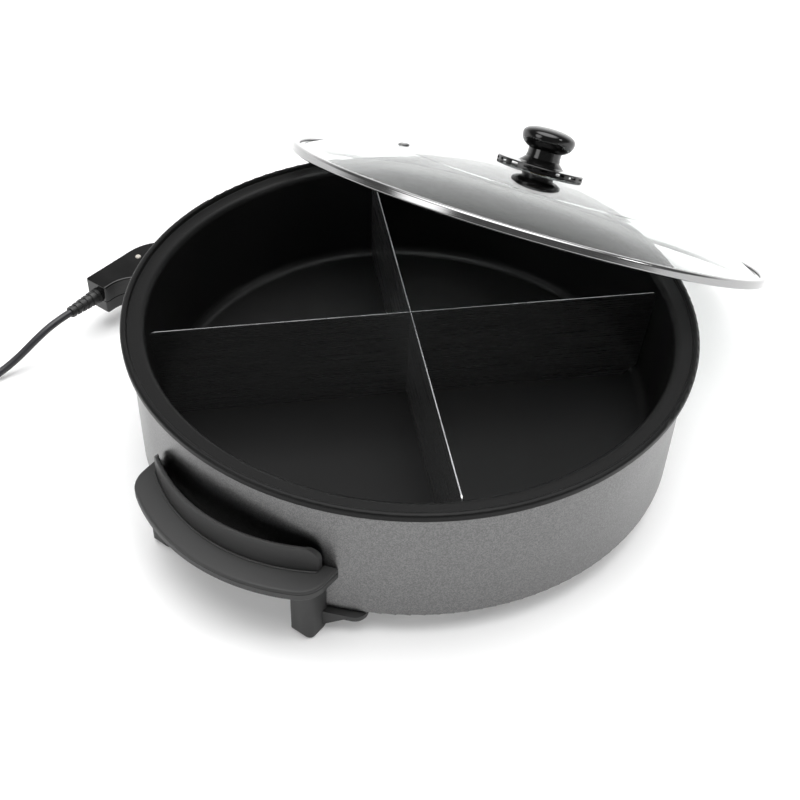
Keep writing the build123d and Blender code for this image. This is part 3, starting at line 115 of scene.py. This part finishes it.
# ------------------------------------------------------------ shader helpers
class Finish:
    """A procedural material built round one Principled shader.

    A pattern's scale is its number of cells in a metre.
    """

    def __init__(self, name, color, roughness, **inputs):
        self.material = bpy.data.materials.new(name)
        self.material.use_nodes = True
        self.tree = self.material.node_tree
        self.shader = self.tree.nodes["Principled BSDF"]
        self.shader.inputs["Base Color"].default_value = (*color, 1.0)
        self.shader.inputs["Roughness"].default_value = roughness
        for key, value in inputs.items():
            socket = self.shader.inputs[key.replace("_", " ").title()]
            socket.default_value = value
        self.place = self.add("ShaderNodeTexCoord").outputs["Object"]
        self.height = None

    def set_specular(self, level):
        self.shader.inputs["Specular IOR Level"].default_value = level

    def add(self, kind, **settings):
        """A new shader node with some of its settings."""
        node = self.tree.nodes.new(kind)
        for key, value in settings.items():
            setattr(node, key, value)
        return node

    def join(self, source, target):
        self.tree.links.new(source, target)

    def stretched(self, scale):
        """Object coordinates, stretched by a scale for each axis."""
        node = self.add("ShaderNodeMapping")
        node.inputs["Scale"].default_value = scale
        self.join(self.place, node.inputs["Vector"])
        return node.outputs["Vector"]

    def noise(self, scale, detail=3.0, rough=0.55, place=None):
        """Soft cloudy noise, finer with more detail."""
        node = self.add("ShaderNodeTexNoise")
        node.inputs["Scale"].default_value = scale
        node.inputs["Detail"].default_value = detail
        node.inputs["Roughness"].default_value = rough
        self.join(place or self.place, node.inputs["Vector"])
        return node.outputs["Fac"]

    def grains(self, scale):
        """A random value for each cell of a fine cell pattern."""
        node = self.add("ShaderNodeTexVoronoi", feature="F1")
        node.inputs["Scale"].default_value = scale
        self.join(self.place, node.inputs["Vector"])
        split = self.add("ShaderNodeSeparateColor")
        self.join(node.outputs["Color"], split.inputs["Color"])
        return split.outputs["Red"]

    def lines_along(self, axis, scale):
        """Fine lines across one direction, as from brushing."""
        dot = self.add("ShaderNodeVectorMath", operation="DOT_PRODUCT")
        self.join(self.place, dot.inputs[0])
        dot.inputs[1].default_value = axis
        return self.lines_from(dot.outputs["Value"], scale)

    def turned_lines(self, centre, axis, scale):
        """Fine rings round an axis, as from a lathe."""
        offset = self.add("ShaderNodeVectorMath", operation="SUBTRACT")
        self.join(self.place, offset.inputs[0])
        offset.inputs[1].default_value = centre
        side = self.add("ShaderNodeVectorMath", operation="CROSS_PRODUCT")
        self.join(offset.outputs["Vector"], side.inputs[0])
        side.inputs[1].default_value = axis
        radius = self.add("ShaderNodeVectorMath", operation="LENGTH")
        self.join(side.outputs["Vector"], radius.inputs[0])
        return self.lines_from(radius.outputs["Value"], scale)

    def lines_from(self, value, scale):
        """Noise that changes with one value only."""
        node = self.add("ShaderNodeTexNoise", noise_dimensions="1D")
        node.inputs["Scale"].default_value = scale
        node.inputs["Detail"].default_value = 4.0
        self.join(value, node.inputs["W"])
        return node.outputs["Fac"]

    def spread(self, value, low, high, start=0.3, end=0.7):
        """Map a pattern from start..end to low..high."""
        node = self.add("ShaderNodeMapRange")
        node.inputs["From Min"].default_value = start
        node.inputs["From Max"].default_value = end
        node.inputs["To Min"].default_value = low
        node.inputs["To Max"].default_value = high
        self.join(value, node.inputs["Value"])
        return node.outputs["Result"]

    def color_from(self, value, *stops):
        """Base colour from a pattern, by (position, colour) stops."""
        node = self.add("ShaderNodeValToRGB")
        ramp = node.color_ramp
        while len(ramp.elements) < len(stops):
            ramp.elements.new(0.5)
        for element, (position, color) in zip(ramp.elements, stops):
            element.position = position
            element.color = (*color, 1.0)
        self.join(value, node.inputs["Fac"])
        self.join(node.outputs["Color"], self.shader.inputs["Base Color"])

    def roughness_from(self, value, low, high):
        """Roughness that follows a pattern."""
        self.join(self.spread(value, low, high),
                  self.shader.inputs["Roughness"])

    def bump_from(self, value, distance, strength):
        """A bump of a height in metres, on top of the bumps before it."""
        node = self.add("ShaderNodeBump")
        node.inputs["Distance"].default_value = distance
        node.inputs["Strength"].default_value = strength
        self.join(value, node.inputs["Height"])
        if self.height is not None:
            self.join(self.height, node.inputs["Normal"])
        self.height = node.outputs["Normal"]
        self.join(self.height, self.shader.inputs["Normal"])


def grey(value, warmth=0.0):
    """A neutral colour, a little warm or cool."""
    return (value * (1 + warmth), value, value * (1 - warmth))


# ----------------------------------------------------------------- finishes
UP = (0.0, 0.0, 1.0)
ORIGIN = (0.0, 0.0, 0.0)


def non_stick():
    """Satin black coating over a spun pan."""
    f = Finish("non_stick_coating", grey(0.006), 0.38)
    f.set_specular(0.14)
    specks = f.noise(1500, 2.0)
    rings = f.turned_lines(ORIGIN, UP, 420)
    patches = f.noise(9, 4.0)
    f.color_from(specks, (0.35, grey(0.004)), (0.7, grey(0.009)))
    f.roughness_from(patches, 0.34, 0.44)
    f.bump_from(rings, 0.00006, 0.5)
    f.bump_from(specks, 0.00005, 0.5)
    return f.material


def housing_paint():
    """Metallic grey paint with a fine speckle and a slight orange peel."""
    f = Finish("housing_paint", grey(0.16), 0.30, metallic=1.0)
    flakes = f.grains(1500)
    peel = f.noise(420, 2.0)
    patches = f.noise(14, 3.0)
    f.color_from(flakes, (0.0, grey(0.123)), (0.5, grey(0.155)),
                 (1.0, grey(0.202)))
    f.roughness_from(patches, 0.27, 0.34)
    f.bump_from(peel, 0.00010, 0.35)
    f.bump_from(flakes, 0.00003, 0.4)
    return f.material


def moulded_plastic(name, color, low, high, grain=1700):
    """Plastic with a fine moulded grain and faint uneven gloss."""
    f = Finish(name, color, (low + high) / 2)
    f.set_specular(0.4)
    texture = f.noise(grain, 2.0)
    patches = f.noise(22, 4.0)
    darker = tuple(0.86 * c for c in color)
    lighter = tuple(1.12 * c for c in color)
    f.color_from(patches, (0.3, darker), (0.7, lighter))
    f.roughness_from(patches, low, high)
    f.bump_from(texture, 0.00005, 0.5)
    return f.material


def gloss_plastic(name, color, low, high):
    """Polished plastic with faint smears and a soft waviness."""
    f = Finish(name, color, low)
    smears = f.noise(60, 5.0, 0.65, f.stretched((1.0, 0.35, 1.0)))
    waves = f.noise(28, 2.0)
    f.color_from(smears, (0.3, color), (0.75, tuple(1.5 * c for c in color)))
    f.roughness_from(smears, low, high)
    f.bump_from(waves, 0.00008, 0.2)
    return f.material


def brushed_metal(name, color, low, high, lines, distance=0.00002):
    """Metal with fine lines; lines(finish) gives their pattern."""
    f = Finish(name, color, (low + high) / 2, metallic=1.0)
    pattern = lines(f)
    dark = tuple(0.82 * c for c in color)
    f.color_from(pattern, (0.3, dark), (0.7, color))
    f.roughness_from(pattern, low, high)
    f.bump_from(pattern, distance, 0.6)
    return f.material


def rolled_lines(f):
    """Lines along a level sheet, as steel has from rolling."""
    return f.noise(60, 5.0, 0.7, f.stretched((0.25, 0.25, 45.0)))


def rubber(name, color, low, high):
    """Soft matt rubber with a dusty, slightly uneven skin."""
    f = Finish(name, color, (low + high) / 2)
    dust = f.noise(260, 5.0)
    skin = f.noise(1300, 2.0)
    lighter = tuple(1.5 * c for c in color)
    f.color_from(dust, (0.35, color), (0.8, lighter))
    f.roughness_from(dust, low, high)
    f.bump_from(skin, 0.00004, 0.5)
    return f.material


def lid_glass():
    """Clear toughened glass with faint smears."""
    f = Finish("lid_glass", (0.86, 0.89, 0.88), 0.0,
               transmission_weight=1.0)
    f.shader.inputs["IOR"].default_value = GLASS_IOR
    smears = f.noise(16, 6.0, 0.7)
    f.join(f.spread(smears, 0.0, 0.045, 0.45, 0.8),
           f.shader.inputs["Roughness"])
    return f.material


def lamp_lens():
    """Ribbed, nearly clear lamp lens with a milky core."""
    f = Finish("lamp_lens", (0.80, 0.74, 0.66), 0.12,
               transmission_weight=0.35)
    f.shader.inputs["IOR"].default_value = LENS_IOR
    cells = f.grains(900)
    f.color_from(cells, (0.0, (0.72, 0.64, 0.54)), (1.0, (0.88, 0.84, 0.78)))
    f.bump_from(cells, 0.00006, 0.5)
    return f.material


def ceramic():
    """Glazed off-white ceramic with small specks."""
    f = Finish("glazed_ceramic", (0.72, 0.68, 0.60), 0.30, coat_weight=0.5)
    specks = f.noise(700, 3.0)
    f.color_from(specks, (0.2, (0.60, 0.56, 0.48)), (0.5, (0.74, 0.70, 0.62)))
    f.bump_from(specks, 0.00004, 0.4)
    return f.material


def phenolic():
    """Dark brown moulded phenolic with a mottled surface."""
    f = Finish("phenolic", (0.020, 0.015, 0.012), 0.42)
    mottle = f.noise(340, 5.0, 0.7)
    f.color_from(mottle, (0.35, (0.014, 0.011, 0.009)),
                 (0.75, (0.034, 0.026, 0.021)))
    f.roughness_from(mottle, 0.36, 0.5)
    f.bump_from(mottle, 0.00004, 0.4)
    return f.material


def zinc_sheet():
    """Zinc-coated sheet with broad soft spangles."""
    f = Finish("zinc_sheet", grey(0.50), 0.38, metallic=1.0)
    spangle = f.grains(90)
    f.color_from(spangle, (0.0, grey(0.40)), (1.0, grey(0.56)))
    f.roughness_from(spangle, 0.30, 0.46)
    f.bump_from(f.noise(500, 3.0), 0.00002, 0.4)
    return f.material


def hot_element():
    """Oxidised heating tube, straw to blue grey."""
    f = Finish("element_oxide", (0.13, 0.12, 0.12), 0.48, metallic=1.0)
    heat = f.noise(45, 4.0)
    f.color_from(heat, (0.3, (0.10, 0.10, 0.12)), (0.5, (0.16, 0.14, 0.12)),
                 (0.7, (0.22, 0.17, 0.11)))
    f.roughness_from(heat, 0.40, 0.58)
    f.bump_from(f.noise(1200, 3.0), 0.00004, 0.5)
    return f.material


def white_marking():
    """Slightly worn white marking ink."""
    f = Finish("white_marking", grey(0.78), 0.5)
    wear = f.noise(2600, 4.0)
    f.color_from(wear, (0.25, grey(0.55)), (0.45, grey(0.80)))
    return f.material


def woven_strap():
    """Dark hook-and-loop strap."""
    f = Finish("woven_strap", grey(0.02), 0.85)
    loops = f.noise(1500, 3.0, 0.8)
    f.color_from(loops, (0.35, grey(0.012)), (0.75, grey(0.045)))
    f.bump_from(loops, 0.0003, 0.8)
    return f.material


def middle_of(name):
    """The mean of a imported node's vertices."""
    mesh = nodes[name].data
    return sum((v.co for v in mesh.vertices), Vector()) / len(mesh.vertices)


# The leaning lid's frame: its band lies round the axis and its knob is on it.
LID_CENTRE = middle_of("lid_band")
LID_AXIS = (middle_of("knob_cap") - LID_CENTRE).normalized()


def lid_rings(f):
    """Lathe rings round the lid's axis."""
    return f.turned_lines(LID_CENTRE, LID_AXIS, 1500)


def lid_brushing(f):
    """Lines round the lid's band."""
    return f.lines_along(LID_AXIS, 2600)


def pan_rings(f):
    """Lathe rings round the pan's axis."""
    return f.turned_lines(ORIGIN, UP, 900)


def make_finishes():
    """Each material, with the nodes that it covers."""
    screw = brushed_metal("screw_zinc", grey(0.46), 0.28, 0.45,
                          lambda f: f.noise(900, 3.0))
    plated = brushed_metal("nickel_plating", (0.70, 0.68, 0.63), 0.12, 0.24,
                           lambda f: f.noise(500, 4.0))
    handle = moulded_plastic("handle_plastic", grey(0.031), 0.46, 0.58)
    knob = gloss_plastic("knob_gloss", grey(0.004), 0.05, 0.12)
    control = gloss_plastic("control_gloss", grey(0.004), 0.09, 0.20)
    cord = rubber("cord_rubber", grey(0.016), 0.38, 0.52)
    band = brushed_metal("band_steel", grey(0.38), 0.09, 0.18, lid_brushing,
                         0.000008)
    divider = brushed_metal("divider_steel", grey(0.60, -0.01), 0.20, 0.36,
                            rolled_lines)
    brass = brushed_metal("turned_brass", (0.74, 0.52, 0.22), 0.20, 0.36,
                          lid_rings)
    spreader = brushed_metal("spun_aluminium", grey(0.72), 0.30, 0.45,
                             pan_rings)
    zinc = zinc_sheet()
    brown = phenolic()
    seal = rubber("silicone_seal", grey(0.045), 0.40, 0.55)
    return {
        non_stick(): ["inner_pan"],
        housing_paint(): ["outer_housing"],
        zinc: ["base_cover", "probe_sleeve"],
        hot_element(): ["heating_element"],
        spreader: ["heat_spreader"],
        ceramic(): ["terminal_block"],
        brown: ["socket_shroud", "contact_carrier", "thermostat_switch"],
        handle: ["handle_left", "handle_right", "leg_bracket_left",
                 "leg_bracket_right"],
        screw: ["spreader_stud", "socket_screws", "handle_screws",
                "bracket_screws", "control_screws"],
        plated: ["terminal_pins", "earth_spring", "contact_sleeves",
                 "probe_rod", "dial_shaft", "plug_pins"],
        rubber("foot_rubber", grey(0.022), 0.6, 0.75): ["feet"],
        divider: ["divider_long", "divider_cross"],
        lid_glass(): ["lid_glass"],
        band: ["lid_band", "vent_grommet"],
        seal: ["lid_gasket", "knob_seal"],
        knob: ["knob_flange", "knob_cap", "knob_washer"],
        brass: ["knob_insert", "knob_screw"],
        control: ["control_upper_shell", "control_lower_shell",
                  "control_dial"],
        lamp_lens(): ["indicator_lens"],
        cord: ["strain_relief", "power_cord", "cord_coil", "cord_tail",
               "plug_relief"],
        woven_strap(): ["coil_tie"],
        moulded_plastic("plug_plastic", grey(0.018), 0.34, 0.46, 900):
            ["mains_plug"],
    }


def dress_nodes():
    """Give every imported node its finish."""
    for material, names in make_finishes().items():
        for name in names:
            mesh = nodes[name].data
            mesh.materials.clear()
            mesh.materials.append(material)


# --------------------------------------------------------------------- cord
def ease(value, start, end):
    """0 before start, 1 after end, smooth between them."""
    t = min(1.0, max(0.0, (value - start) / (end - start)))
    return t * t * (3 - 2 * t)


def coil_points():
    """Control points of a flat coil: inward below, then outward on top."""
    # A quadratic spline runs inside its control points by this share.
    shrink = 0.75 + 0.25 * math.cos(2 * math.pi / COIL_POINTS)
    points = []
    for i in range(1, COIL_TURNS * COIL_POINTS):
        turns = i / COIL_POINTS
        inward = sum(ease(turns, *step) for step in COIL_STEPS_IN)
        outward = sum(ease(turns, *step) for step in COIL_STEPS_OUT)
        radius = COIL_OUTER_R - CORD_D * (inward - outward)
        angle = math.radians(COIL_START_DEG - 360 * turns)
        z = COIL_LOW_Z + CORD_D * ease(turns, *COIL_RISE)
        points.append((COIL_CENTRE[0] + radius / shrink * math.cos(angle),
                       COIL_CENTRE[1] + radius / shrink * math.sin(angle), z))
    return points


def mains_cord(material):
    """The whole cord as one smooth round curve, coil included."""
    points = CORD_LEAD + coil_points() + CORD_TAIL
    curve = bpy.data.curves.new("mains_cord", "CURVE")
    curve.dimensions = "3D"
    spline = curve.splines.new("NURBS")
    spline.points.add(len(points) - 1)
    for point, place in zip(spline.points, points):
        point.co = (*place, 1.0)
    spline.order_u = 3           # quadratic
    spline.use_endpoint_u = True
    spline.resolution_u = CORD_SPLINE_STEPS
    curve.bevel_depth = CORD_D / 2
    curve.bevel_resolution = CORD_ROUND_STEPS
    curve.use_fill_caps = True
    curve.materials.append(material)
    cord = bpy.data.objects.new("mains_cord", curve)
    bpy.context.scene.collection.objects.link(cord)
    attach(cord, "heat_control")
    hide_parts("power_cord", "cord_coil", "cord_tail")
    return cord


def spline_length(points, steps=12):
    """Length of the quadratic spline through the same control points."""
    points = [Vector(p) for p in points]
    knots = [points[0]]
    knots += [(a + b) / 2 for a, b in zip(points[1:-2], points[2:-1])]
    knots.append(points[-1])
    total = 0.0
    for start, middle, end in zip(knots, points[1:], knots[1:]):
        before = start
        for i in range(1, steps + 1):
            t = i / steps
            here = ((1 - t) ** 2 * start + 2 * t * (1 - t) * middle
                    + t * t * end)
            total += (here - before).length
            before = here
    return total


def declare_cord():
    """Work out how long the cord is."""
    length = spline_length(CORD_LEAD + coil_points() + CORD_TAIL)


# --------------------------------------------------------------- dial marks
def raised_text(name, text, size, place, turn_deg, material, body):
    """A small raised character, as a mesh, turned about +Z on its place."""
    curve = bpy.data.curves.new(name, "FONT")
    curve.body = text
    curve.size = size
    curve.align_x = "CENTER"
    curve.align_y = "CENTER"
    curve.extrude = MARK_T / 2
    curve.resolution_u = 4
    shape = bpy.data.objects.new(name + "_shape", curve)
    bpy.context.scene.collection.objects.link(shape)
    shape.matrix_world = (Matrix.Translation(place)
                          @ Matrix.Rotation(math.radians(turn_deg), 4, "Z"))
    bpy.context.view_layer.update()
    graph = bpy.context.evaluated_depsgraph_get()
    mesh = bpy.data.meshes.new_from_object(shape.evaluated_get(graph))
    mesh.transform(shape.matrix_world)
    bpy.data.objects.remove(shape)
    mark = bpy.data.objects.new(name, mesh)
    bpy.context.scene.collection.objects.link(mark)
    mesh.materials.clear()
    mesh.materials.append(material)
    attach(mark, body)


def dial_marks(material):
    """Plain numbers round the dial's skirt, the first one on +Y."""
    gaps = len(DIAL_NUMBERS) - 1
    for i, number in enumerate(DIAL_NUMBERS):
        turn = i * DIAL_SPREAD_DEG / gaps
        angle = math.radians(90 + turn)
        place = Vector((DIAL_CENTRE[0] + DIAL_MARK_R * math.cos(angle),
                        DIAL_CENTRE[1] + DIAL_MARK_R * math.sin(angle),
                        DIAL_SKIRT_Z + MARK_T / 2))
        raised_text("dial_number_" + number, number, MARK_H, place, turn,
                    material, "dial")


# ------------------------------------------------------------ floor and light
def floor():
    """A wide pale floor with a faint light of its own."""
    bpy.ops.mesh.primitive_plane_add(size=FLOOR_SIZE, location=(0, 0, 0))
    ground = bpy.context.object
    ground.name = "floor"
    f = Finish("floor_paper", grey(0.80), 0.75)
    f.color_from(f.noise(3, 3.0), (0.3, grey(0.79)), (0.7, grey(0.81)))
    f.shader.inputs["Emission Color"].default_value = (1.0, 1.0, 1.0, 1.0)
    f.shader.inputs["Emission Strength"].default_value = FLOOR_GLOW
    ground.data.materials.append(f.material)


def softbox(name, place, aim, size, watts):
    """A square area light turned to a point."""
    light = bpy.data.lights.new(name, "AREA")
    light.shape = "SQUARE"
    light.size = size
    light.energy = watts
    lamp = bpy.data.objects.new(name, light)
    bpy.context.scene.collection.objects.link(lamp)
    way = Vector(aim) - Vector(place)
    lamp.matrix_world = (Matrix.Translation(place)
                         @ way.to_track_quat("-Z", "Y").to_matrix().to_4x4())


class SoftRoom:
    """A dim room with smooth glows, each round one direction."""

    def __init__(self, dim):
        world = bpy.data.worlds.new("studio")
        bpy.context.scene.world = world
        world.use_nodes = True
        self.tree = world.node_tree
        self.place = self.tree.nodes.new("ShaderNodeTexCoord")
        background = self.tree.nodes["Background"]
        background.inputs["Color"].default_value = (1.0, 1.0, 1.0, 1.0)
        self.strength = background.inputs["Strength"]
        self.total = None
        self.dim = dim

    def glow(self, way, start, end, light):
        """Light that grows with the cosine to a direction."""
        new, links = self.tree.nodes.new, self.tree.links
        dot = new("ShaderNodeVectorMath")
        dot.operation = "DOT_PRODUCT"
        dot.inputs[1].default_value = Vector(way).normalized()
        links.new(self.place.outputs["Generated"], dot.inputs[0])
        ramp = new("ShaderNodeMapRange")
        ramp.interpolation_type = "SMOOTHSTEP"
        ramp.inputs["From Min"].default_value = start
        ramp.inputs["From Max"].default_value = end
        ramp.inputs["To Min"].default_value = 0.0
        ramp.inputs["To Max"].default_value = light
        links.new(dot.outputs["Value"], ramp.inputs["Value"])
        add = new("ShaderNodeMath")
        add.operation = "ADD"
        links.new(ramp.outputs["Result"], add.inputs[0])
        if self.total is None:
            add.inputs[1].default_value = self.dim
        else:
            links.new(self.total, add.inputs[1])
        self.total = add.outputs["Value"]
        links.new(self.total, self.strength)


def lights():
    """The room's glows and one softbox, shown without a film curve."""
    room = SoftRoom(WORLD_DIM)
    for way, (start, end, light) in GLOWS:
        room.glow(way, start, end, light)
    softbox("softbox_right", SOFTBOX_PLACE, SOFTBOX_AIM, SOFTBOX_SIZE,
            SOFTBOX_WATTS)
    bpy.context.scene.view_settings.view_transform = "Standard"


def camera():
    """A camera at its place, turned to its aim and then rolled."""
    data = bpy.data.cameras.new("camera")
    data.lens = CAMERA_LENS_MM
    data.sensor_width = CAMERA_SENSOR_MM
    eye = bpy.data.objects.new("camera", data)
    bpy.context.scene.collection.objects.link(eye)
    way = Vector(CAMERA_AIM) - Vector(CAMERA_PLACE)
    look = way.to_track_quat("-Z", "Y").to_matrix().to_4x4()
    roll = Matrix.Rotation(math.radians(CAMERA_ROLL_DEG), 4, "Z")
    eye.matrix_world = Matrix.Translation(CAMERA_PLACE) @ look @ roll
    bpy.context.scene.camera = eye


dress_nodes()
cord = mains_cord(bpy.data.materials["cord_rubber"])
declare_cord()
dial_marks(white_marking())
floor()
lights()
camera()
